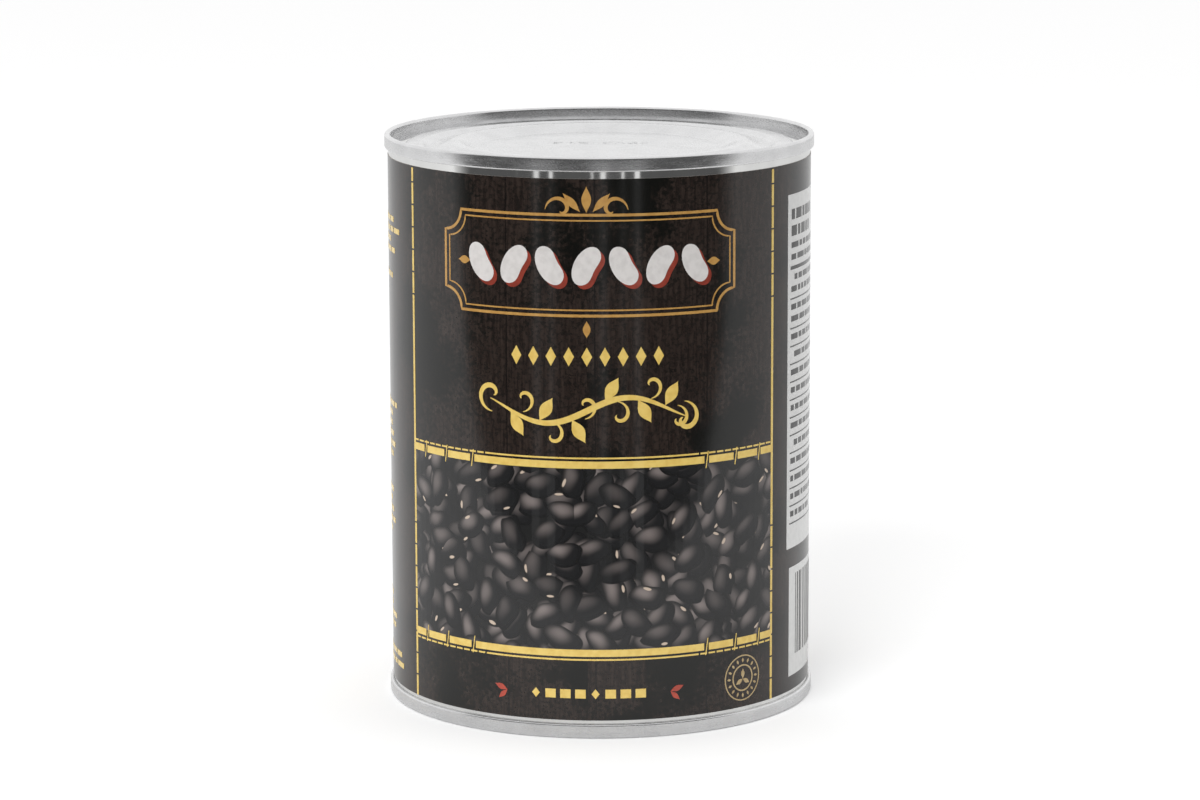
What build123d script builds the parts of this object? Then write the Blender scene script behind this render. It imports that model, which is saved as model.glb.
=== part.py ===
from build123d import *

import os
from math import hypot, pi, radians, sin, tan

# Canned beans. A welded tinplate can, closed by a double-seamed end at the top and another at
# the bottom, full of beans, with a paper label glued round its wall. All sizes are millimetres.
# +Z is up, the label's front faces -Y, and the origin is the middle of the underside.

# Overall sizes
can_height = 115.9  # over both seams
seam_diameter = 87.3  # over the outer wall of a seam

# Tinplate
end_plate = 0.27  # thickness of the two ends
body_plate = 0.20  # thickness of the rolled and welded wall

# Double seam: the edge of the end is rolled round the edge of the wall and pressed flat
seam_length = 2.85  # from the crest to the fold at the seam's other edge
body_hook_length = 1.90  # wall's edge, folded down outside the cover hook
cover_hook_length = 1.90  # end's edge, folded up between the wall and its hook
crest_flat = 0.15  # flat left along the crest
hook_flat = 0.06  # flat left along the fold

# End panel, from the seam inwards, with depths measured from the crest
countersink_depth = 4.20  # bottom of the groove that runs round inside the seam
countersink_width = 1.75  # groove's width at its bottom
chuck_taper = 4.0  # degrees that the groove's outer wall leans in below the seam
panel_wall_width = 1.35  # sloping wall from the groove up to the panel
flat_ring_depth = 2.10
flat_ring_width = 3.30
valley_slope_width = 1.40
valley_depth = 2.75  # shallow pressed groove between the flat ring and the raised ring
valley_width = 2.00
ring_slope_width = 2.40
raised_ring_depth = 1.80
raised_ring_width = 1.90
centre_slope_width = 3.50
centre_depth = 3.20  # flat centre panel, which takes the radius that is left
groove_bend = 0.62  # bends at the bottom of the countersink
panel_bend = 0.95  # bend at the top of the panel's wall
bead_bend = 2.00  # bends of the pressed rings

# Paper label: one sheet, wrapped round the wall and glued where its ends lap
label_paper = 0.12
label_gap_below = 0.75  # bare wall between the label and the bottom seam
label_gap_above = 1.40  # bare wall between the label and the top seam
lap_width = 8.0
lap_position = 150.0  # degrees from +X to the middle of the lap

# Sizes that follow from the ones above
seam_radius = seam_diameter / 2
seam_thickness = 3 * end_plate + 2 * body_plate
chuck_radius = seam_radius - seam_thickness
cover_hook_radius = seam_radius - 2 * end_plate - body_plate
body_radius = cover_hook_radius
crest_bend = (seam_thickness - crest_flat) / 2
hook_bend = (2 * end_plate + body_plate - hook_flat) / 2
chuck_lean = (countersink_depth - seam_length) * tan(radians(chuck_taper))
groove_outer_radius = chuck_radius - chuck_lean
groove_inner_radius = groove_outer_radius - countersink_width
panel_edge_radius = groove_inner_radius - panel_wall_width
flat_ring_inner_radius = panel_edge_radius - flat_ring_width
valley_outer_radius = flat_ring_inner_radius - valley_slope_width
valley_inner_radius = valley_outer_radius - valley_width
ring_outer_radius = valley_inner_radius - ring_slope_width
ring_inner_radius = ring_outer_radius - raised_ring_width
centre_radius = ring_inner_radius - centre_slope_width
label_radius = body_radius + label_paper
label_bottom = seam_length + label_gap_below
label_top = can_height - seam_length - label_gap_above


def end_face_line():
    """Outer face of an end from its centre to its hook: (radius, depth, bend) at each corner."""
    return [
        (0, centre_depth, 0),
        (centre_radius, centre_depth, bead_bend),
        (ring_inner_radius, raised_ring_depth, bead_bend),
        (ring_outer_radius, raised_ring_depth, bead_bend),
        (valley_inner_radius, valley_depth, bead_bend),
        (valley_outer_radius, valley_depth, bead_bend),
        (flat_ring_inner_radius, flat_ring_depth, bead_bend),
        (panel_edge_radius, flat_ring_depth, panel_bend),
        (groove_inner_radius, countersink_depth, groove_bend),
        (groove_outer_radius, countersink_depth, groove_bend),
        (chuck_radius, seam_length, groove_bend),
        (chuck_radius, 0, crest_bend),
        (seam_radius, 0, crest_bend),
        (seam_radius, seam_length, hook_bend),
        (cover_hook_radius, seam_length, hook_bend),
        (cover_hook_radius, seam_length - cover_hook_length, 0),
    ]


def line_beside(line, distance):
    """The line that runs a distance to the left of a bent line and keeps its bends' centres."""
    ways = []
    for (x0, y0, _), (x1, y1, _) in zip(line[:-1], line[1:]):
        length = hypot(x1 - x0, y1 - y0)
        ways.append(((x1 - x0) / length, (y1 - y0) / length))
    moved = []
    for (x, y, bend), way_in, way_out in zip(line, ways[:1] + ways, ways + ways[-1:]):
        share = distance / (1 + way_in[0] * way_out[0] + way_in[1] * way_out[1])
        turn = way_in[0] * way_out[1] - way_in[1] * way_out[0]
        beside_x = x - (way_in[1] + way_out[1]) * share
        beside_y = y + (way_in[0] + way_out[0]) * share
        tighter = distance if turn > 0 else -distance
        moved.append((beside_x, beside_y, bend - tighter if bend else 0))
    return moved


def wall_top_line(under_face):
    """Top of the filled wall: the end's under face, then the wall's edge folded down outside."""
    fold_bend = crest_bend - end_plate - body_plate
    hook_outer_radius = seam_radius - end_plate
    hook_inner_radius = hook_outer_radius - body_plate
    hook_tip_depth = end_plate + body_hook_length
    fold_depth = end_plate + body_plate
    hook = [
        (hook_outer_radius, hook_tip_depth, 0),
        (hook_inner_radius, hook_tip_depth, 0),
        (hook_inner_radius, fold_depth, fold_bend),
        (body_radius, fold_depth, fold_bend),
    ]
    return under_face[:-3] + hook


def at_top(line):
    """Corners of a line on the top end, as (radius, height, bend)."""
    return [(radius, can_height - depth, bend) for radius, depth, bend in line]


def turned(corners, arc=360):
    """The solid that a closed section sweeps round the can's axis."""
    points = [(radius, 0, height) for radius, height, _ in corners]
    bends = [bend for _, _, bend in corners]
    outline = FilletPolyline(*points, radius=bends, close=True)
    return revolve(make_face(outline), Axis.Z, arc)


def paper_label():
    """The label's tube of paper, with the strip where one end is glued over the other."""
    tube = [
        (body_radius, label_bottom, 0),
        (label_radius, label_bottom, 0),
        (label_radius, label_top, 0),
        (body_radius, label_top, 0),
    ]
    strip = [(radius + label_paper, height, 0) for radius, height, _ in tube]
    lap_arc = lap_width / label_radius * 180 / pi
    lap = Rot(Z=lap_position - lap_arc / 2) * turned(strip, lap_arc)
    return turned(tube) + lap


outer_face = end_face_line()
under_face = line_beside(outer_face, end_plate)
end_section = outer_face + under_face[::-1]
wall_top = wall_top_line(under_face)

parts = {
    "can_body": turned(at_top(wall_top) + wall_top[::-1]),
    "top_end": turned(at_top(end_section)),
    "bottom_end": turned(end_section),
    "paper_label": paper_label(),
}

os.makedirs("parts", exist_ok=True)
for node, part in parts.items():
    part.label = node
    export_step(part, f"parts/{node}.step")
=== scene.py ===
import random
from math import atan2, cos, hypot, pi, radians, sin, tan

import bmesh
import bpy
from mathutils import Matrix, Vector


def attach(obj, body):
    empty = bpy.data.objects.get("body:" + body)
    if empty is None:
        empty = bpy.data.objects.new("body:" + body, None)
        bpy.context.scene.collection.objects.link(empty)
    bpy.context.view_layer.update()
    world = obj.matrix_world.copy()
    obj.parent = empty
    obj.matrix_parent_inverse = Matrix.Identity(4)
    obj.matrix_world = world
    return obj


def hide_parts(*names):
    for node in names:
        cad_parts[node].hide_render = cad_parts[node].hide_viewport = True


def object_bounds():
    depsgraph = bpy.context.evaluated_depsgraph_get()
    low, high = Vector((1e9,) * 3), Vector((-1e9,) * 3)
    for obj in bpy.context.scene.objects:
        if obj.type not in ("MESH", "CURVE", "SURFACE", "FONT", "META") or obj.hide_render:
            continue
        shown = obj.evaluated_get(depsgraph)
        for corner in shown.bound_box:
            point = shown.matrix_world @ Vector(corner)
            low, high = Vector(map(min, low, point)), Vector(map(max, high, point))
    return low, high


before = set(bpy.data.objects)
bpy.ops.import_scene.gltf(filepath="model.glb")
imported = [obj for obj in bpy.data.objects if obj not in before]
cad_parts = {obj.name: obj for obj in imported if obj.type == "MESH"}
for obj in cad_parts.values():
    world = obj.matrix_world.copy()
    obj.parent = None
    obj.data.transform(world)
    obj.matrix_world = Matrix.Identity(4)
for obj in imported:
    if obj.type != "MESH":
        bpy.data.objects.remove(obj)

cad_lowest, cad_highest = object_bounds()

# ---- Wall of the can ----
# Tinplate rolled to a tube and welded down one side, bright as a mirror where the label leaves it
# bare. The beans fill it, so it is one closed solid whose rim rises into both seams.
MM = 0.001
CAN_HEIGHT = cad_highest.z
SEAM_RADIUS = cad_highest.x
END_PLATE = 0.27 * MM
BODY_PLATE = 0.20 * MM
BODY_RADIUS = SEAM_RADIUS - 2 * END_PLATE - BODY_PLATE
SEAM_LENGTH = 2.85 * MM
COUNTERSINK_DEPTH = 4.20 * MM
FILL_GAP = 0.4 * MM  # between the filling and the underside of an end
STEPS_ROUND = 288
FULL_TURN = 2 * pi


def rounded(corners, pieces=6):
    """A line through (radius, height, bend) corners, with each bend drawn as an arc."""
    line = []
    for i, (x, z, bend) in enumerate(corners):
        if not bend:
            line.append((x, z))
            continue
        here = Vector((x, z))
        to_last = (Vector(corners[i - 1][:2]) - here).normalized()
        to_next = (Vector(corners[i + 1][:2]) - here).normalized()
        half = to_last.angle(to_next) / 2
        centre = here + (to_last + to_next).normalized() * bend / sin(half)
        start = here + to_last * bend / tan(half) - centre
        end = here + to_next * bend / tan(half) - centre
        swing = atan2(start.x * end.y - start.y * end.x, start.dot(end))
        for k in range(pieces + 1):
            spoke = Matrix.Rotation(swing * k / pieces, 2) @ start
            line.append(tuple(centre + spoke))
    return line


def spun(line, angle=FULL_TURN, steps=STEPS_ROUND):
    """Spins a section line round the can's axis. A line from axis to axis makes a closed solid."""
    bm = bmesh.new()
    verts = [bm.verts.new((radius, 0, height)) for radius, height in line]
    edges = [bm.edges.new(pair) for pair in zip(verts, verts[1:])]
    bmesh.ops.spin(
        bm,
        geom=verts + edges,
        cent=(0, 0, 0),
        axis=(0, 0, 1),
        angle=angle,
        steps=steps,
        use_merge=angle == FULL_TURN,
    )
    bmesh.ops.remove_doubles(bm, verts=bm.verts, dist=0.001 * MM)
    bmesh.ops.recalc_face_normals(bm, faces=bm.faces)
    return bm


def piece(name, bm, slot, *materials, smooth=True):
    """Puts a finished bmesh into the scene as a piece that rides on the can."""
    mesh = bpy.data.meshes.new(name)
    bm.to_mesh(mesh)
    bm.free()
    for material in materials:
        mesh.materials.append(material)
    if smooth:
        mesh.shade_smooth()
        mesh.set_sharp_from_angle(angle=radians(40))
    made = bpy.data.objects.new(name, mesh)
    bpy.context.collection.objects.link(made)
    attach(made, "root")
    return made


class Finish:
    """A material whose nodes are added one by one and linked by the sockets they read."""

    def __init__(self, name):
        self.material = bpy.data.materials.new(name)
        self.material.use_nodes = True
        self.tree = self.material.node_tree
        self.shader = self.tree.nodes["Principled BSDF"]

    def add(self, kind, inputs=None, out=0, **settings):
        made = self.tree.nodes.new("ShaderNode" + kind)
        for key, value in settings.items():
            setattr(made, key, value)
        self.feed(made, inputs or {})
        return made.outputs[out]

    def feed(self, made, inputs):
        for key, value in inputs.items():
            if isinstance(value, bpy.types.NodeSocket):
                self.tree.links.new(value, made.inputs[key])
            else:
                made.inputs[key].default_value = value

    def math(self, operation, first, second=0.0):
        return self.add("Math", {0: first, 1: second}, operation=operation)

    def step(self, value, low, high, to_low=0.0, to_high=1.0):
        """A smooth step of a value from one level to another."""
        limits = {0: value, 1: low, 2: high, 3: to_low, 4: to_high}
        return self.add("MapRange", limits, interpolation_type="SMOOTHSTEP")

    def mix(self, share, first, second, blend="MIX"):
        inputs = {0: share, 6: first, 7: second}
        return self.add("Mix", inputs, out=2, data_type="RGBA", blend_type=blend)

    def place(self, scale=(1, 1, 1)):
        """Object coordinates, stretched by a scale for each axis."""
        where = self.add("TexCoord", out="Object")
        return self.add("Mapping", {0: where, 3: scale})

    def noise(self, where, scale, detail=3.0):
        return self.add("TexNoise", {"Vector": where, "Scale": scale, "Detail": detail})

    def relief(self, height, depth):
        bump = self.add("Bump", {"Strength": 1.0, "Distance": depth, "Height": height})
        self.feed(self.shader, {"Normal": bump})

    def round_place(self, around, up):
        """Coordinates that run round the can and up it, so that a pattern follows the sheet."""
        where = self.add("TexCoord", out="Object")
        parts = self.tree.nodes.new("ShaderNodeSeparateXYZ")
        self.tree.links.new(where, parts.inputs[0])
        turn = self.math("ARCTAN2", parts.outputs[0], parts.outputs[1])
        level = self.add("CombineXYZ", {0: parts.outputs[0], 1: parts.outputs[1]})
        reach = self.add("VectorMath", {0: level}, out=1, operation="LENGTH")
        inputs = {
            0: self.math("MULTIPLY", turn, around),
            1: self.math("MULTIPLY", parts.outputs[2], up),
            2: self.math("MULTIPLY", reach, up),
        }
        return self.add("CombineXYZ", inputs)


def tinplate(name, colour, roughness, around, up, ripple):
    """Bright tin with a fine rolled grain, cloudy crystal patches and a slight ripple."""
    tin = Finish(name)
    grain = tin.noise(tin.round_place(around, up), 1.0, 4.0)
    cloud = tin.noise(tin.place(), 220.0, 2.0)
    shade = tin.step(cloud, 0.3, 0.7, 0.93, 1.0)
    grey = tin.add("CombineColor", {0: shade, 1: shade, 2: shade})
    tin.feed(tin.shader, {
        "Base Color": tin.mix(1.0, colour, grey, "MULTIPLY"),
        "Metallic": 1.0,
        "Roughness": tin.step(grain, 0.25, 0.75, roughness * 0.75, roughness * 1.3),
    })
    tin.relief(grain, ripple)
    return tin.material


MIRROR_TIN = (0.80, 0.80, 0.79, 1)
FILL_SHOULDER = 2.2 * MM  # width of the slope from the filling up to the rim
FILL_LEVEL = COUNTERSINK_DEPTH + END_PLATE + FILL_GAP
wall_tin = tinplate("mirror_tinplate", MIRROR_TIN, 0.07, 9.0, 60.0, 0.004 * MM)
wall_line = [
    (0, FILL_LEVEL),
    (BODY_RADIUS - FILL_SHOULDER, FILL_LEVEL),
    (BODY_RADIUS - BODY_PLATE - FILL_GAP / 4, SEAM_LENGTH + FILL_GAP),
    (BODY_RADIUS - BODY_PLATE, SEAM_LENGTH / 2),
    (BODY_RADIUS, SEAM_LENGTH / 2),
]
wall_line += [(radius, CAN_HEIGHT - height) for radius, height in reversed(wall_line)]
can_wall = piece("can_wall", spun(wall_line), "tinplate_wall", wall_tin)
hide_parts("can_body")

# ---- Side weld ----
# Where the rolled sheet's two edges overlap, an electric weld leaves a dull narrow band with a
# strip of grey lacquer over it. It runs from seam to seam at the back, under the label.
WELD_WIDTH = 2.4 * MM
WELD_RISE = 0.03 * MM
WELD_TURN = radians(112)
WELD_END = SEAM_LENGTH * 0.9  # just inside the seams
WELD_GREYS = ((0.20, 0.20, 0.20, 1), (0.34, 0.34, 0.33, 1))
WELD_INNER = BODY_RADIUS - BODY_PLATE / 2
WELD_OUTER = BODY_RADIUS + WELD_RISE
weld_finish = Finish("lacquered_weld")
weld_spots = weld_finish.noise(weld_finish.place((1, 1, 3)), 900.0)
weld_finish.feed(weld_finish.shader, {
    "Base Color": weld_finish.mix(weld_spots, *WELD_GREYS),
    "Metallic": 1.0,
    "Roughness": weld_finish.step(weld_spots, 0.3, 0.7, 0.35, 0.5),
})
weld_line = [
    (WELD_INNER, WELD_END),
    (WELD_OUTER, WELD_END),
    (WELD_OUTER, CAN_HEIGHT - WELD_END),
    (WELD_INNER, CAN_HEIGHT - WELD_END),
    (WELD_INNER, WELD_END),
]
weld = spun(weld_line, WELD_WIDTH / BODY_RADIUS, 6)
bmesh.ops.holes_fill(weld, edges=weld.edges, sides=0)
bmesh.ops.recalc_face_normals(weld, faces=weld.faces)
weld_place = Matrix.Rotation(WELD_TURN, 3, "Z")
bmesh.ops.rotate(weld, verts=weld.verts, cent=(0, 0, 0), matrix=weld_place)
piece("side_weld", weld, "tinplate_wall", weld_finish.material, smooth=False)

# ---- Ends ----
# Each end is one disc of tinplate, stamped with a countersink and stiffening rings. Its edge is
# rolled down outside the wall and up between the wall and the wall's hook, which makes the seam.
SEAM_THICKNESS = 3 * END_PLATE + 2 * BODY_PLATE
CREST_BEND = 0.53 * MM
HOOK_BEND = 0.34 * MM
CHUCK_RADIUS = SEAM_RADIUS - SEAM_THICKNESS
CHUCK_TAPER = radians(4)
GROOVE_OUTER = CHUCK_RADIUS - (COUNTERSINK_DEPTH - SEAM_LENGTH) * tan(CHUCK_TAPER)
GROOVE_BEND = 0.62 * MM
BEAD_BEND = 2.0 * MM
PANEL_BEND = 0.95 * MM
COVER_HOOK = 1.90 * MM
# Each stretch of the panel from the groove inwards: its width, and the depth that it reaches
PANEL_RUNS = [
    (1.75 * MM, COUNTERSINK_DEPTH, GROOVE_BEND),
    (1.35 * MM, 2.10 * MM, PANEL_BEND),
    (3.30 * MM, 2.10 * MM, BEAD_BEND),
    (1.40 * MM, 2.75 * MM, BEAD_BEND),
    (2.00 * MM, 2.75 * MM, BEAD_BEND),
    (2.40 * MM, 1.80 * MM, BEAD_BEND),
    (1.90 * MM, 1.80 * MM, BEAD_BEND),
    (3.50 * MM, 3.20 * MM, BEAD_BEND),
]


def end_line():
    """Outer face of an end, from its centre to the tip of its hook, as (radius, depth, bend)."""
    radius = GROOVE_OUTER
    panel = [(radius, COUNTERSINK_DEPTH, GROOVE_BEND)]
    for width, depth, bend in PANEL_RUNS:
        radius -= width
        panel.insert(0, (radius, depth, bend))
    return [(0, panel[0][1], 0)] + panel + [
        (CHUCK_RADIUS, SEAM_LENGTH, GROOVE_BEND),
        (CHUCK_RADIUS, 0, CREST_BEND),
        (SEAM_RADIUS, 0, CREST_BEND),
        (SEAM_RADIUS, SEAM_LENGTH, HOOK_BEND),
        (BODY_RADIUS, SEAM_LENGTH, HOOK_BEND),
        (BODY_RADIUS, SEAM_LENGTH - COVER_HOOK, 0),
    ]


def end_sheet(at_top):
    """The outer face line of an end, given the plate's thickness on its inner side."""
    face = rounded(end_line())
    under = []
    for i, (x, y) in enumerate(face):
        way = Vector(face[min(i + 1, len(face) - 1)]) - Vector(face[max(i - 1, 0)])
        way.normalize()
        under.append((max(x - way.y * END_PLATE, 0), y + way.x * END_PLATE))
    line = face + under[::-1]
    return spun([(x, CAN_HEIGHT - y) for x, y in line] if at_top else line)


SATIN_TIN = (0.74, 0.74, 0.745, 1)
end_tin = tinplate("rolled_tinplate", SATIN_TIN, 0.24, 14.0, 2600.0, 0.0025 * MM)
for node_name, at_top in (("top_end", True), ("bottom_end", False)):
    end_plate = piece(node_name + "_plate", end_sheet(at_top), "tinplate_end", end_tin)
    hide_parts(node_name)

# ---- Paper label ----
# One sheet of thin paper, printed and varnished, wrapped once round the wall. Its last few
# millimetres climb over its first ones and are glued to them at the back.
PAPER = 0.12 * MM
LABEL_RADIUS = BODY_RADIUS + PAPER
LABEL_LOW = SEAM_LENGTH + 0.75 * MM
LABEL_HIGH = CAN_HEIGHT - SEAM_LENGTH - 1.40 * MM
LAP_WIDTH = 8.0 * MM
LAP_TURN = radians(240)  # from the middle of the front, round by the right
CLIMB = 2.0 * MM
SHEET_STEPS = 480
GLOSS = 0.13
# The sheet's printed face, upper edge, back and lower edge: two corners of its section, the strip
# that it fills on the map, and its material
SHEET_SIDES = [
    (0, 1, 0.04, 1.0, 0),
    (1, 3, 0.032, 0.036, 1),
    (3, 2, 0.002, 0.018, 1),
    (2, 0, 0.022, 0.028, 1),
]


def on_can(arc, height, radius):
    """The point an arc's length to the right of the front's middle, at a height."""
    turn = arc / LABEL_RADIUS
    return Vector((radius * sin(turn), -radius * cos(turn), height))


DARK_WOOD = (0.016, 0.010, 0.008, 1)
LIGHT_WOOD = (0.038, 0.026, 0.021, 1)
FLECK_BROWN = (0.006, 0.005, 0.004, 1)
SOOT_BLACK = (0.003, 0.003, 0.002, 1)
JOINT_BLACK = (0.002, 0.001, 0.001, 1)
SCRIBBLE_BLACK = (0.002, 0.002, 0.001, 1)
PAPER_RIPPLE = 0.02 * MM
FIBRE_COLOURS = ((0.36, 0.33, 0.30, 1), (0.62, 0.59, 0.55, 1))


def label_sheet():
    """The wrapped sheet as a closed strip, with a map of its printed face for the print."""
    bm = bmesh.new()
    chart = bm.loops.layers.uv.new("OFBake")
    length = 2 * pi * LABEL_RADIUS + LAP_WIDTH
    start = LAP_TURN * LABEL_RADIUS + LAP_WIDTH / 2 - length
    rows = []
    for i in range(SHEET_STEPS + 1):
        arc = start + length * i / SHEET_STEPS
        climb = (start + length - LAP_WIDTH - arc) / CLIMB
        rise = PAPER * (1 - max(0.0, min(1.0, climb)))
        radii = (LABEL_RADIUS + rise, BODY_RADIUS + rise)
        rows.append([bm.verts.new(on_can(arc, height, radius))
                     for radius in radii for height in (LABEL_LOW, LABEL_HIGH)])
    for i, (near, far) in enumerate(zip(rows, rows[1:])):
        left, right = i / SHEET_STEPS, (i + 1) / SHEET_STEPS
        for a, b, low, high, material in SHEET_SIDES:
            face = bm.faces.new((near[a], far[a], far[b], near[b]))
            face.material_index = material
            corners = ((left, low), (right, low), (right, high), (left, high))
            for loop, where in zip(face.loops, corners):
                loop[chart].uv = where
    for end in (rows[0], rows[-1]):
        face = bm.faces.new((end[0], end[1], end[3], end[2]))
        face.material_index = 1
    bmesh.ops.recalc_face_normals(bm, faces=bm.faces)
    return bm


def old_boards():
    """Printed picture of dark old boards: grain, joints, soot and worn scribbles."""
    boards = Finish("varnished_board_print")
    where = boards.round_place(43.0, 1000.0)  # millimetres round and up
    flat = boards.add("VectorMath", {0: where, 1: (1, 1, 0)}, operation="MULTIPLY")
    grain = boards.noise(boards.add("Mapping", {0: flat, 3: (1.0, 0.12, 1.0)}), 1.6, 6.0)
    cloud = boards.noise(flat, 0.045, 4.0)
    fleck = boards.noise(flat, 1.1, 5.0)
    colour = boards.mix(boards.step(grain, 0.3, 0.7), DARK_WOOD, LIGHT_WOOD)
    colour = boards.mix(boards.step(fleck, 0.46, 0.60, 0.0, 0.55), colour, FLECK_BROWN)
    sooty = boards.math("ADD", cloud, boards.math("MULTIPLY", fleck, 0.25))
    colour = boards.mix(boards.step(sooty, 0.60, 0.72), colour, SOOT_BLACK)
    joint_inputs = {
        "Vector": boards.add("Mapping", {0: flat, 1: (4.0, 0, 0)}),
        "Scale": 0.0137,
        "Distortion": 0.35,
        "Detail": 1.0,
        "Detail Scale": 0.02,
    }
    joints = boards.add(
        "TexWave", joint_inputs, wave_profile="SAW", bands_direction="X", out=1
    )
    colour = boards.mix(boards.step(joints, 0.985, 0.995, 0.0, 0.8), colour, JOINT_BLACK)
    contour = boards.math("SUBTRACT", boards.noise(flat, 0.34, 2.5), 0.5)
    line = boards.step(boards.math("ABSOLUTE", contour), 0.004, 0.012, 0.6, 0.0)
    patch = boards.step(boards.noise(flat, 0.06, 1.0), 0.50, 0.58)
    colour = boards.mix(boards.math("MULTIPLY", line, patch), colour, SCRIBBLE_BLACK)
    boards.feed(boards.shader, {
        "Base Color": colour,
        "Roughness": boards.step(fleck, 0.3, 0.7, GLOSS, GLOSS + 0.04),
    })
    long_waves = boards.add("Mapping", {0: flat, 3: (1.0, 0.25, 1.0)})
    boards.relief(boards.noise(long_waves, 0.09, 1.0), PAPER_RIPPLE)
    return boards.material


cut_paper = Finish("cut_paper_edge")
fibres = cut_paper.noise(cut_paper.place(), 3000.0)
cut_paper.feed(cut_paper.shader, {
    "Base Color": cut_paper.mix(fibres, *FIBRE_COLOURS),
    "Roughness": 0.8,
})
label_faces = (old_boards(), cut_paper.material)
label = piece("label_paper", label_sheet(), "printed_paper", *label_faces)
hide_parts("paper_label")

# ---- Ink of the front and back panels ----
# Flat colours printed on the sheet. Each ink is a film as thin as paper, drawn flat as millimetres
# along the sheet and up it, then bent round the can. The back panel repeats the front one.
PANEL_HALF = 42.2  # half the width of a panel between its upright gold rules
BACK = pi * LABEL_RADIUS / MM
BEND_STEP = 1.6
INK_SINK = 0.01 * MM
# How far each film stands above the sheet, so that what is printed later lies on top
PICTURE_FILM = 0.020 * MM
SHADOW_FILM = 0.030 * MM
MARK_FILM = 0.035 * MM
ORNAMENT_FILM = 0.040 * MM
BRIGHT_FILM = 0.045 * MM


def verts_of(geometry):
    """The corners among what a bmesh operator hands back."""
    return [found for found in geometry if isinstance(found, bmesh.types.BMVert)]


def film(name, shapes, colour, rise, repeats=(0.0, BACK)):
    """Bends flat outlines round the can as one closed film of ink that stands a rise above it."""
    bm = bmesh.new()
    for outline in shapes:
        bm.faces.new([bm.verts.new((x, y, 0)) for x, y in outline])
    bmesh.ops.remove_doubles(bm, verts=bm.verts, dist=0.0005)
    bmesh.ops.recalc_face_normals(bm, faces=bm.faces)
    bmesh.ops.triangulate(bm, faces=[face for face in bm.faces if len(face.verts) > 4])
    low = min(vert.co.x for vert in bm.verts)
    high = max(vert.co.x for vert in bm.verts)
    for i in range(int(low // BEND_STEP), int(high // BEND_STEP) + 2):
        bmesh.ops.bisect_plane(
            bm,
            geom=bm.verts[:] + bm.edges[:] + bm.faces[:],
            dist=1e-5,
            plane_co=(i * BEND_STEP, 0, 0),
            plane_no=(1, 0, 0),
        )
    top = bmesh.ops.extrude_face_region(bm, geom=bm.faces[:])["geom"]
    bmesh.ops.translate(bm, verts=verts_of(top), vec=(0, 0, 1))
    once = bm.verts[:] + bm.edges[:] + bm.faces[:]
    for shift in repeats[1:]:
        copy = bmesh.ops.duplicate(bm, geom=once)["geom"]
        bmesh.ops.translate(bm, verts=verts_of(copy), vec=(shift, 0, 0))
    for vert in bm.verts:
        radius = LABEL_RADIUS + (rise if vert.co.z > 0.5 else -INK_SINK)
        vert.co = on_can((vert.co.x + repeats[0]) * MM, vert.co.y * MM, radius)
    bmesh.ops.recalc_face_normals(bm, faces=bm.faces)
    return piece(name, bm, "printed_paper", colour, smooth=False)


def ink(name, colour, worn, gloss=GLOSS):
    """An ink under varnish, a little uneven where it lies thin."""
    wet = Finish(name)
    patch = wet.noise(wet.place(), 700.0, 5.0)
    wet.feed(wet.shader, {
        "Base Color": wet.mix(wet.step(patch, 0.35, 0.75), colour, worn), "Roughness": gloss})
    return wet.material


def bar(left, low, right, high, slant=0.0):
    return [(left, low), (right, low), (right + slant, high), (left + slant, high)]


def ring(x, y, radius, width, turns=48):
    """The four-sided cells of a ring of even width."""
    cells = []
    for i in range(turns):
        a, b = 2 * pi * i / turns, 2 * pi * (i + 1) / turns
        corners = ((a, 0), (b, 0), (b, width), (a, width))
        cells.append([(x + (radius - w) * cos(t), y + (radius - w) * sin(t)) for t, w in corners])
    return cells


def stroke(path, width, taper=True):
    """The cells of a brush stroke along a path, thin at both ends where it tapers."""
    cells, last = [], None
    for i, (x, y) in enumerate(path):
        ahead = Vector(path[min(i + 1, len(path) - 1)]) - Vector(path[max(i - 1, 0)])
        side = Vector((-ahead.y, ahead.x)).normalized()
        share = i / (len(path) - 1)
        half = width / 2 * (0.12 + 0.88 * sin(pi * share) ** 0.8 if taper else 1.0)
        pair = (Vector((x, y)) + side * half, Vector((x, y)) - side * half)
        if last:
            cells.append([tuple(last[0]), tuple(last[1]), tuple(pair[1]), tuple(pair[0])])
        last = pair
    return cells


def scroll(x, y, size, turn, sweep, flip=1, steps=40):
    """A path that leaves a point and winds in to a curl."""
    path = []
    for i in range(steps + 1):
        share = i / steps
        angle = turn + flip * sweep * share
        reach = size * (1 - share) ** 0.8 + size * 0.12
        path.append((x + reach * cos(angle), y + reach * sin(angle)))
    return path


def leaf(x, y, length, width, turn, steps=14):
    """An almond-shaped leaf that points along a turn."""
    rim = [(length * i / steps, width / 2 * sin(pi * i / steps) ** 1.3) for i in range(steps + 1)]
    rim += [(a, -b) for a, b in reversed(rim[1:-1])]
    return [(x + a * cos(turn) - b * sin(turn), y + a * sin(turn) + b * cos(turn)) for a, b in rim]


def bean(x, y, length, width, turn, steps=30):
    """A bean's outline: an ellipse with a hollow where it joined its pod."""
    rim = []
    for i in range(steps):
        t = 2 * pi * i / steps
        dent = 0.30 * max(0.0, -sin(t)) ** 6
        a, b = length / 2 * cos(t), width / 2 * sin(t) * (1 - dent)
        rim.append((x + a * cos(turn) - b * sin(turn), y + a * sin(turn) + b * cos(turn)))
    return rim


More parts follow.
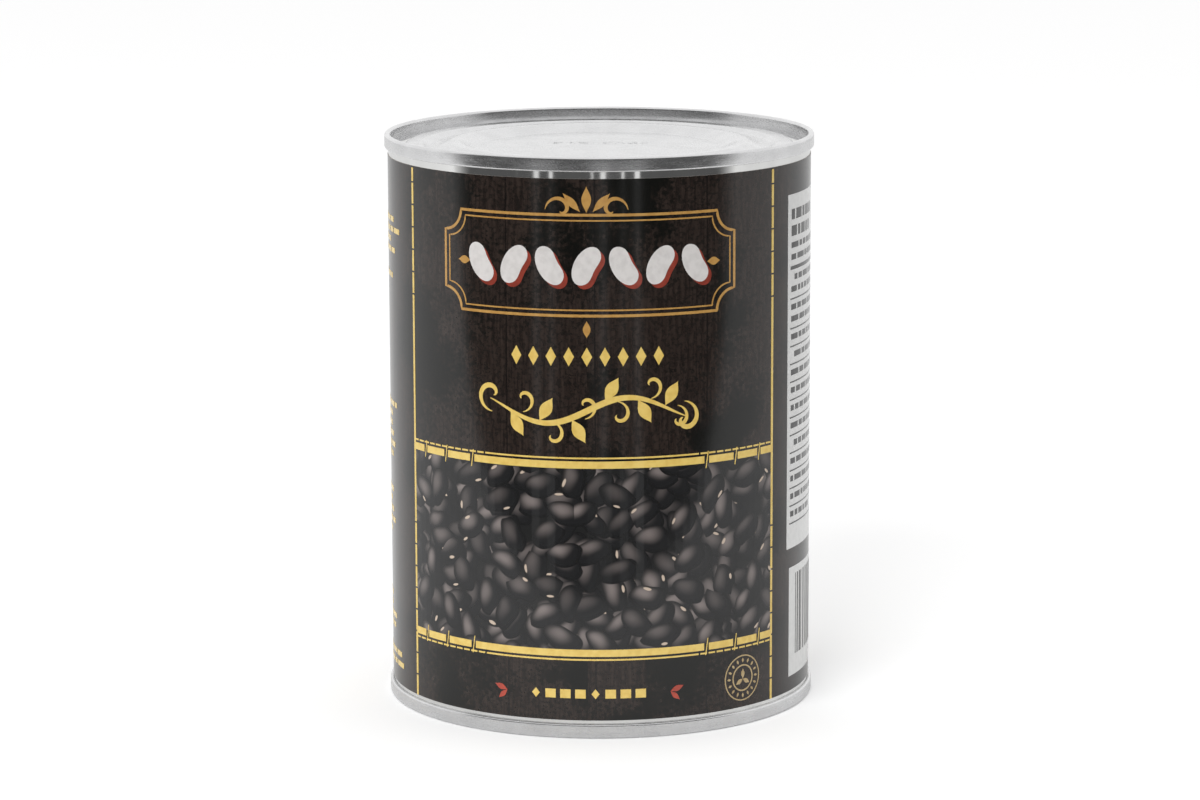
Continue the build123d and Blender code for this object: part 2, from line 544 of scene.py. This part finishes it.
GOLD_LOW, GOLD_HIGH = 17.3, 55.2  # middles of the two gold bands
BAND_HALF = 0.72
RULE_HALF = 0.33
BAND_OVERLAP = 0.2  # that a gold band covers of the picture's edge
picture_frame = (GOLD_LOW + BAND_HALF - BAND_OVERLAP, GOLD_HIGH - BAND_HALF + BAND_OVERLAP)
DASH, DASH_GAP = 4.5, 0.35
WHOLE_LOW, WHOLE_HIGH, WHOLE_LENGTH = 36, 78, 42.0  # unbroken middle of an upright rule
CUTS = (24.5, 31.5, 38.0)  # where the slanting strokes cut a band, from its middle
CUT_GAP = 0.55
STROKE_LEFT, STROKE_RIGHT, STROKE_REACH, STROKE_SLANT = 0.28, 0.08, 1.0, 0.5
RULE_AWAY, THIN_HALF = 0.62, 0.17  # the thin rule beside a band


def dashed_upright(x):
    """An upright rule, dashed near the top and bottom and whole in the middle."""
    cells, low, top = [], LABEL_LOW / MM, LABEL_HIGH / MM
    while low < top:
        broken = low < WHOLE_LOW or low > WHOLE_HIGH
        high = min(low + (DASH if broken else WHOLE_LENGTH), top)
        gap = DASH_GAP if broken else 0.0
        cells.append(bar(x - RULE_HALF, low, x + RULE_HALF, high - gap))
        low = high
    return cells


def gold_band(y, outward):
    """A thick band with a thin rule outside it, cut by slanting strokes near both ends."""
    cells = []
    cuts = sorted(side * reach for side in (-1, 1) for reach in CUTS)
    edges = [-PANEL_HALF] + cuts + [PANEL_HALF]
    for left, right in zip(edges, edges[1:]):
        start = left + (CUT_GAP if left in cuts else 0)
        end = right - (CUT_GAP if right in cuts else 0)
        cells.append(bar(start, y - BAND_HALF, end, y + BAND_HALF))
    for cut in cuts:
        low, high = y - BAND_HALF - STROKE_REACH, y + BAND_HALF + STROKE_REACH
        cells.append(bar(cut - STROKE_LEFT, low, cut - STROKE_RIGHT, high, STROKE_SLANT))
    rule = y + outward * (BAND_HALF + RULE_AWAY)
    x = -PANEL_HALF
    while x < PANEL_HALF:
        dash = 1.5 if abs(x + 0.8) > 22 else 44.0
        end = min(x + dash, PANEL_HALF)
        cells.append(bar(x, rule - THIN_HALF, end, rule + THIN_HALF))
        x += dash + 0.4
    return cells


gold = ink("gold_ink", (0.90, 0.66, 0.19, 1), (0.80, 0.55, 0.13, 1))
rules = dashed_upright(-PANEL_HALF) + dashed_upright(PANEL_HALF)
rules += gold_band(GOLD_LOW, -1) + gold_band(GOLD_HIGH, 1)
film("gold_rules", rules, gold, BRIGHT_FILM)

# ---- Plaque, sprig and seal ----
# Gold ornament printed above and below the picture: a notched plaque in a double line, a row of
# lozenges, a curling bean sprig, small bars and a round seal. None of it is lettering.
PLAQUE_WIDE, PLAQUE_LOW, PLAQUE_HIGH, NOTCH = 31.0, 84.8, 104.6, 4.2


def notched(inset, width):
    """A long plaque with scooped corners, as a closed stroke of even width."""
    wide, low, high = PLAQUE_WIDE - inset, PLAQUE_LOW + inset, PLAQUE_HIGH - inset
    path = []
    for side, y, start in ((1, low, 180), (1, high, 270), (-1, high, 360), (-1, low, 90)):
        for k in range(13):
            angle = radians(start - 90 * k / 12)
            path.append((side * wide + NOTCH * cos(angle), y + NOTCH * sin(angle)))
    middle = []
    for a, b in zip(path, path[1:] + path[:1]):
        gap = hypot(b[0] - a[0], b[1] - a[1])
        parts = max(1, int(gap // 2))
        for k in range(parts):
            middle.append((a[0] + (b[0] - a[0]) * k / parts, a[1] + (b[1] - a[1]) * k / parts))
    return stroke(middle + middle[:2], width, taper=False)


plaque = notched(0.0, 0.55) + notched(1.1, 0.30)
for side in (-1, 1):
    plaque += stroke(scroll(side * 5.2, 105.6, 2.6, pi / 2 - side * pi / 2, 4.6, side), 0.8)
    plaque += [leaf(side * 1.2, 105.2, 5.0, 1.5, pi / 2 - side * 0.75)]
    plaque += [leaf(side * 27.5, 94.7, 3.0, 1.6, pi / 2 + side * pi / 2)]
plaque += [leaf(0, 105.0, 5.2, 1.9, pi / 2), leaf(0, 83.8, 3.4, 1.5, -pi / 2)]
dull_gold = ink("dull_gold_ink", (0.60, 0.34, 0.10, 1), (0.50, 0.26, 0.07, 1))
film("gold_plaque", plaque, dull_gold, ORNAMENT_FILM)



LOZENGE_PITCH, LOZENGE_HALF = 3.55, 1.05
LOZENGE_LOW, LOZENGE_MIDDLE, LOZENGE_HIGH = 74.8, 76.7, 78.6
STEM_HALF, STEM_LEVEL, STEM_WAVE, STEM_STRETCH = 20.0, 66.0, 2.6, 5.2
STEM_STEPS = 60
LEAF_PLACES = (-15.5, -9.5, -3.0, 3.5, 10.0, 15.5)
MARK_PITCH, MARK_HALF, MARK_LOW, MARK_HIGH = 3.0, 1.05, 8.1, 9.9


def stem_height(t):
    """Height of the sprig's waving stem at a distance from its middle."""
    return STEM_LEVEL + STEM_WAVE * sin(t / STEM_STRETCH)


sprig = []
for i in range(9):
    x = (i - 4) * LOZENGE_PITCH
    left, right = (x - LOZENGE_HALF, LOZENGE_MIDDLE), (x + LOZENGE_HALF, LOZENGE_MIDDLE)
    sprig.append([left, (x, LOZENGE_LOW), right, (x, LOZENGE_HIGH)])
along = [-STEM_HALF + 2 * STEM_HALF * i / STEM_STEPS for i in range(STEM_STEPS + 1)]
stem = [(t, stem_height(t)) for t in along]
sprig += stroke(stem, 1.25)
for i, t in enumerate(LEAF_PLACES):
    up = 1 if i % 2 else -1
    y = stem_height(t)
    sprig.append(leaf(t, y + up * 0.3, 5.4, 2.5, up * 1.05))
    sprig += stroke(scroll(t + 2.6, y - up * 2.4, 2.3, up * pi / 2, 4.4, -up), 0.75)
sprig += stroke(scroll(-19.6, 68.4, 3.0, -pi / 2, 5.0, -1), 1.0)
sprig += stroke(scroll(19.6, 64.0, 3.0, pi / 2, 5.0, -1), 1.0)
for i in range(8):
    x = (i - 3.5) * MARK_PITCH
    lozenge = [(x - 0.8, 9.0), (x, 8.0), (x + 0.8, 9.0), (x, 10.0)]
    square = bar(x - MARK_HALF, MARK_LOW, x + MARK_HALF, MARK_HIGH)
    sprig.append(square if i % 4 else lozenge)
film("gold_sprig", sprig, gold, BRIGHT_FILM)

SEAL_X, SEAL_Y = 33.6, 9.6
SEAL_OUTER, SEAL_INNER, SEAL_LEAVES, SEAL_LEAF_REACH = 4.7, 2.75, 16, 3.1
seal = ring(SEAL_X, SEAL_Y, SEAL_OUTER, 0.26) + ring(SEAL_X, SEAL_Y, SEAL_INNER, 0.30)
for i in range(SEAL_LEAVES):
    t = 2 * pi * i / SEAL_LEAVES
    x, y = SEAL_X + SEAL_LEAF_REACH * cos(t), SEAL_Y + SEAL_LEAF_REACH * sin(t)
    seal.append(leaf(x, y, 1.0, 0.5, t))
seal += [leaf(SEAL_X, SEAL_Y - 0.2, 2.1, 0.9, radians(90 + 120 * i)) for i in range(3)]
pale_gold = ink("pale_gold_ink", (0.56, 0.42, 0.22, 1), (0.46, 0.33, 0.16, 1))
film("gold_seal", seal, pale_gold, ORNAMENT_FILM)

# ---- White beans and red shadows ----
# A row of white bean shapes fills the plaque, each over a red copy set down and to the right.
# Two pairs of red leaves flank the row of gold bars near the bottom.
SHADOW_SHIFT = 0.75
ROW_HEIGHT, ROW_PITCH, ROW_LONG, ROW_THICK = 94.6, 7.3, 8.2, 5.0
row, shadows = [], []
for i in range(7):
    turn = radians(62 if i % 2 else 118)
    row.append(bean((i - 3) * ROW_PITCH, ROW_HEIGHT, ROW_LONG, ROW_THICK, turn))
    shadows.append([(x + SHADOW_SHIFT, y - SHADOW_SHIFT) for x, y in row[-1]])
red = ink("red_ink", (0.33, 0.055, 0.035, 1), (0.24, 0.04, 0.026, 1))
film("red_shadows", shadows, red, SHADOW_FILM)
bean_white = ink("white_ink", (0.82, 0.79, 0.77, 1), (0.72, 0.69, 0.67, 1))
film("white_beans", row, bean_white, BRIGHT_FILM)
leaves = []
for side in (-1, 1):
    outward = pi / 2 - side * pi / 2
    leaves.append(leaf(side * 16.6, 9.0, 3.0, 1.15, outward + side * 0.35))
    leaves.append(leaf(side * 16.6, 9.0, 2.7, 1.0, outward - side * 0.75))
bright_red = ink("bright_red_ink", (0.50, 0.075, 0.045, 1), (0.40, 0.06, 0.04, 1))
film("red_leaves", leaves, bright_red, ORNAMENT_FILM)

# ---- Bean picture ----
# Between the gold bands the label shows a heap of black beans: shiny dark ovals that lie at all
# angles over one another, some with the small cream scar where they joined the pod.
PICTURE_WIDE = 2 * PANEL_HALF
PICTURE_TALL = picture_frame[1] - picture_frame[0]
BEAN_LAYERS = 6
LAYER_SHIFT = (37.3, 19.7)  # millimetres that each layer's pattern is moved
LAYER_TURN = 0.7
BEANS_PER_MM = 0.125
OVAL = (0.245, 0.40, 0)  # one over half a bean's length and one over half its width
LIGHT_PLACE = (-0.9, 1.0, 0)  # of the light on a bean, from its middle
SCAR_PLACE, SCAR_SHAPE = (0.12, -0.72, 0), (5.5, 8.5, 0)  # as shares of a bean
DEEP_BLACK = (0.016, 0.016, 0.016, 1)
SKIN_BLACK = (0.015, 0.015, 0.016, 1)
SKIN_LIGHT = (0.24, 0.205, 0.195, 1)
RIM_BLACK = (0.010, 0.010, 0.010, 1)
SCAR_CREAM = (0.62, 0.50, 0.40, 1)


def bean_heap():
    """Layers of scattered ovals, each with a soft light on its upper side, over near black."""
    heap = Finish("bean_heap_print")

    def vector(operation, first, second):
        return heap.add("VectorMath", {0: first, 1: second}, operation=operation)

    def length(value):
        return heap.add("VectorMath", {0: value}, out=1, operation="LENGTH")

    def rotated(value, angle):
        return heap.add("VectorRotate", {0: value, "Angle": angle}, rotation_type="Z_AXIS")

    chart = heap.add("UVMap", uv_map="OFBake")
    where = heap.add("Mapping", {0: chart, 3: (PICTURE_WIDE, PICTURE_TALL, 1)})
    wobble = heap.add("TexNoise", {"Vector": where, "Scale": 0.16, "Detail": 1.0}, out=1)
    wobble = vector("MULTIPLY", vector("SUBTRACT", wobble, (0.5, 0.5, 0.5)), (2.2, 2.2, 0))
    where = vector("ADD", where, wobble)
    colour = heap.add("RGB")
    colour.node.outputs[0].default_value = DEEP_BLACK
    for layer in range(BEAN_LAYERS):
        # Each layer is a field of cells with one bean in each, turned by chance
        shift = (layer * LAYER_SHIFT[0], layer * LAYER_SHIFT[1], 0)
        moved = heap.add("Mapping", {0: where, 1: shift, 2: (0, 0, layer * LAYER_TURN)})
        cells = heap.tree.nodes.new("ShaderNodeTexVoronoi")
        cells.voronoi_dimensions = "2D"
        heap.feed(cells, {"Vector": moved, "Scale": BEANS_PER_MM, "Randomness": 0.8})
        chance = heap.tree.nodes.new("ShaderNodeSeparateColor")
        heap.tree.links.new(cells.outputs["Color"], chance.inputs[0])
        away = vector("SUBTRACT", moved, cells.outputs["Position"])
        tilt = heap.math("MULTIPLY", chance.outputs[0], 2 * pi)
        lying = rotated(rotated(away, -layer * LAYER_TURN), tilt)
        oval = vector("MULTIPLY", lying, OVAL)
        reach = length(oval)
        # Black skin with a soft light, a darker rim and, on some beans, the scar
        light = vector("MULTIPLY", rotated(LIGHT_PLACE, tilt), OVAL)
        glow = heap.step(length(vector("SUBTRACT", oval, light)), 0.05, 0.85, 1.0, 0.0)
        strength = heap.math("MULTIPLY", glow, heap.step(chance.outputs[2], 0.0, 1.0, 0.30, 1.0))
        skin = heap.mix(strength, SKIN_BLACK, SKIN_LIGHT)
        skin = heap.mix(heap.step(reach, 0.62, 1.0, 0.0, 0.85), skin, RIM_BLACK)
        scar = vector("MULTIPLY", vector("SUBTRACT", oval, SCAR_PLACE), SCAR_SHAPE)
        scar = heap.step(length(scar), 0.75, 1.1, 1.0, 0.0)
        scarred = heap.math("MULTIPLY", scar, heap.step(chance.outputs[1], 0.60, 0.62))
        skin = heap.mix(scarred, skin, SCAR_CREAM)
        colour = heap.mix(heap.step(reach, 0.93, 1.0, 1.0, 0.0), colour, skin)
    heap.feed(heap.shader, {"Base Color": colour, "Roughness": GLOSS})
    return heap.material


heap_print = bean_heap()
for name, shift, facing in (("bean_picture_front", 0.0, 1), ("bean_picture_back", BACK, -1)):
    outline = bar(-PANEL_HALF, picture_frame[0], PANEL_HALF, picture_frame[1])
    picture = film(name, [outline], heap_print, PICTURE_FILM, (shift,))
    chart = picture.data.uv_layers.new(name="OFBake")
    for loop in picture.data.loops:
        x, y, z = picture.data.vertices[loop.vertex_index].co
        across = atan2(facing * x, -facing * y) * LABEL_RADIUS / MM / PICTURE_WIDE + 0.5
        up = (z / MM - picture_frame[0]) / PICTURE_TALL
        chart.data[loop.index].uv = (across, up)

# ---- Side panels ----
# The right side carries a white table of dark rules and short bars and a white box of upright
# bars. The left side carries lines of small gold bars, set like paragraphs. They hold no words.
INFO_LEFT, INFO_RIGHT, INFO_LOW, INFO_HIGH = 48.2, 87.0, 33.2, 105.4
CODE_LOW, CODE_HIGH = 6.6, 29.2
white = ink("white_panel_ink", (0.80, 0.80, 0.79, 1), (0.74, 0.74, 0.73, 1))
INFO_MARGIN = 1.2
boxes = [
    bar(INFO_LEFT, INFO_LOW, INFO_RIGHT, INFO_HIGH),
    bar(INFO_LEFT + INFO_MARGIN, CODE_LOW, INFO_RIGHT - 4, CODE_HIGH),
]
film("white_panels", boxes, white, PICTURE_FILM, (0.0,))
dark = ink("dark_ink", (0.022, 0.022, 0.022, 1), (0.045, 0.045, 0.045, 1))
draw = random.Random(7)
marks = []
y = INFO_HIGH - 3.0
for line in range(19):
    tall = 2.1 if line < 2 else 1.15
    x = INFO_LEFT + 1.6 + (1.6 if line % 5 == 4 else 0)
    stop = x + draw.uniform(12, 20)
    while x < stop:
        word = draw.uniform(1.2, 4.2)
        marks.append(bar(x, y - tall, x + word, y))
        x += word + 0.7
    if line > 3:
        marks.append(bar(INFO_RIGHT - 6.5, y - tall, INFO_RIGHT - draw.uniform(1.6, 3.0), y))
    y -= tall + 1.25
    if line in (3, 5) or line > 6:
        thick = 0.75 if line == 3 else 0.28
        marks.append(bar(INFO_LEFT + INFO_MARGIN, y - thick, INFO_RIGHT - INFO_MARGIN, y))
        y -= thick + 0.95
BAR_WIDTHS = (0.33, 0.33, 0.66, 0.99)
x = INFO_LEFT + 4.5
while x < INFO_RIGHT - 8:
    wide = draw.choice(BAR_WIDTHS)
    marks.append(bar(x, CODE_LOW + 4.2, x + wide, CODE_HIGH - 1.6))
    x += wide + draw.choice(BAR_WIDTHS)
film("dark_marks", marks, dark, MARK_FILM, (0.0,))

NOTES_X, NOTES_PITCH, NOTES_TALL = -67.5, 2.1, 1.1
NOTE_BLOCKS = ((100.0, 4), (88.5, 1), (62.0, 6), (44.0, 5), (22.0, 4), (10.5, 2))
notes = []
for top, lines in NOTE_BLOCKS:
    for line in range(lines):
        reach = draw.uniform(7.0, 15.5)
        x = NOTES_X - reach
        high = top - line * NOTES_PITCH
        while x < NOTES_X + reach:
            word = draw.uniform(1.4, 4.6)
            notes.append(bar(x, high - NOTES_TALL, x + word, high))
            x += word + 0.8
film("gold_notes", notes, gold, ORNAMENT_FILM, (0.0,))

# ---- Packing code on the lid ----
# A faint row of ink-jet dots on the centre panel, sprayed at the filling line.
CENTRE_PANEL = CAN_HEIGHT - PANEL_RUNS[-1][1]
DOTS_LEFT, DOTS_NEAR = -9.5 * MM, 4.5 * MM
DOT_PITCH_X, DOT_PITCH_Y, DOT_RADIUS = 0.42 * MM, 0.62 * MM, 0.15 * MM
dots = bmesh.new()
for i in range(46):
    for j in range(5):
        if draw.random() < 0.42 and i % 6 != 5:
            x, y = DOTS_LEFT + i * DOT_PITCH_X, DOTS_NEAR + j * DOT_PITCH_Y
            spot = Matrix.Translation((x, y, CENTRE_PANEL))
            bmesh.ops.create_circle(
                dots, cap_ends=True, segments=8, radius=DOT_RADIUS, matrix=spot
            )
lifted = bmesh.ops.extrude_face_region(dots, geom=dots.faces[:])["geom"]
bmesh.ops.translate(dots, verts=verts_of(lifted), vec=(0, 0, 0.01 * MM))
bmesh.ops.recalc_face_normals(dots, faces=dots.faces)
jet_ink = ink("jet_ink", (0.16, 0.16, 0.17, 1), (0.30, 0.30, 0.31, 1), 0.5)
piece("lid_code_dots", dots, "tinplate_end", jet_ink, smooth=False)

# ---- Studio ----
# A white sweep under and behind the can, white light from the sides, back and above, and a dark
# room in front whose few bright strips show in the bare tin.
FLOOR_FRONT, FLOOR_REACH = 0.16, 3.0
FLOOR_LIFT = 0.22  # that lifts the seen floor to white
floor = bmesh.new()
bmesh.ops.create_grid(floor, x_segments=1, y_segments=1, size=1.0)
for vert in floor.verts:
    vert.co.x *= FLOOR_REACH
    vert.co.y = FLOOR_REACH if vert.co.y > 0 else -FLOOR_FRONT
floor_mesh = bpy.data.meshes.new("floor")
floor.to_mesh(floor_mesh)
floor.free()
sweep = Finish("white_sweep")
rays = sweep.tree.nodes.new("ShaderNodeLightPath")
sweep.feed(sweep.shader, {
    "Base Color": (0.88, 0.88, 0.88, 1),
    "Roughness": 0.9,
    "Specular IOR Level": 0.0,
    "Emission Color": (1, 1, 1, 1),
    "Emission Strength": sweep.math("MULTIPLY", rays.outputs["Is Camera Ray"], FLOOR_LIFT),
})
floor_mesh.materials.append(sweep.material)
floor_object = bpy.data.objects.new("floor", floor_mesh)
bpy.context.collection.objects.link(floor_object)

world = bpy.data.worlds.new("studio")
bpy.context.scene.world = world
world.use_nodes = True
sky = world.node_tree
sky.nodes.clear()


def sky_node(kind, inputs, **settings):
    made = sky.nodes.new("ShaderNode" + kind)
    for key, value in settings.items():
        setattr(made, key, value)
    for key, value in inputs.items():
        if isinstance(value, bpy.types.NodeSocket):
            sky.links.new(value, made.inputs[key])
        else:
            made.inputs[key].default_value = value
    return made


def sky_ramp(value, low, high, to_low, to_high, **settings):
    inputs = {0: value, 1: low, 2: high, 3: to_low, 4: to_high}
    return sky_node("MapRange", inputs, **settings).outputs[0]


def sky_math(operation, first, second):
    return sky_node("Math", {0: first, 1: second}, operation=operation).outputs[0]


toward = sky_node("TexCoord", {}).outputs["Generated"]
split = sky_node("SeparateXYZ", {0: toward}).outputs
# White behind the can and beside it, and dark in front
backness = sky_ramp(split[1], -0.35, -0.05, 0.10, 1.0, interpolation_type="SMOOTHSTEP")
# White overhead
above = sky_ramp(split[2], 0.45, 0.85, 0.0, 1.0, interpolation_type="SMOOTHSTEP")
# Bright upright strips low in front, which only the bare tin shows
bearing = sky_math("ARCTAN2", split[0], split[1])
streaks = sky_node("TexNoise", {"W": bearing, "Scale": 9.0, "Detail": 3.0}, noise_dimensions="1D")
strips = sky_ramp(streaks.outputs[0], 0.58, 0.62, 0.0, 0.9)
strips = sky_math("MULTIPLY", strips, sky_ramp(split[1], -0.72, -0.85, 0.0, 1.0))
strips = sky_math("MULTIPLY", strips, sky_ramp(split[2], 0.02, -0.04, 0.0, 1.0))
level = sky_math("MAXIMUM", sky_math("MAXIMUM", backness, above), strips)
level = sky_math("MAXIMUM", level, sky_node("LightPath", {}).outputs["Is Camera Ray"])
backdrop = sky_node("Background", {0: (1, 1, 1, 1), 1: level}).outputs[0]
sky_node("OutputWorld", {0: backdrop})


def softbox(name, place, aim, size, power):
    """A square soft lamp that lights the can but isn't mirrored in its tin."""
    data = bpy.data.lights.new(name, "AREA")
    data.energy, data.size = power, size
    lamp = bpy.data.objects.new(name, data)
    lamp.location = place
    lamp.rotation_euler = (Vector(aim) - Vector(place)).to_track_quat("-Z", "Y").to_euler()
    lamp.visible_glossy = False
    lamp.visible_camera = False
    bpy.context.collection.objects.link(lamp)


softbox("front_softbox", (-0.5, -1.3, 0.9), (0, 0, 0.05), 0.9, 14.0)

# ---- Camera ----
# A long lens a little above the can, looking down at it.
CAMERA_AWAY, CAMERA_HIGH = 0.858, 0.2188
CAMERA_TURN, CAMERA_DOWN, CAMERA_ROLL = radians(3.4), radians(10.47), radians(-0.17)
lens = bpy.data.cameras.new("camera")
lens.lens, lens.sensor_width = 127.3, 36.0
lens.clip_start = 0.01
camera = bpy.data.objects.new("camera", lens)
camera.location = (CAMERA_AWAY * sin(CAMERA_TURN), -CAMERA_AWAY * cos(CAMERA_TURN), CAMERA_HIGH)
heading = Matrix.Rotation(CAMERA_TURN, 4, "Z") @ Matrix.Rotation(pi / 2 - CAMERA_DOWN, 4, "X")
camera.rotation_euler = (heading @ Matrix.Rotation(CAMERA_ROLL, 4, "Z")).to_euler()
bpy.context.collection.objects.link(camera)
bpy.context.scene.camera = camera
bpy.context.scene.view_settings.view_transform = "Standard"
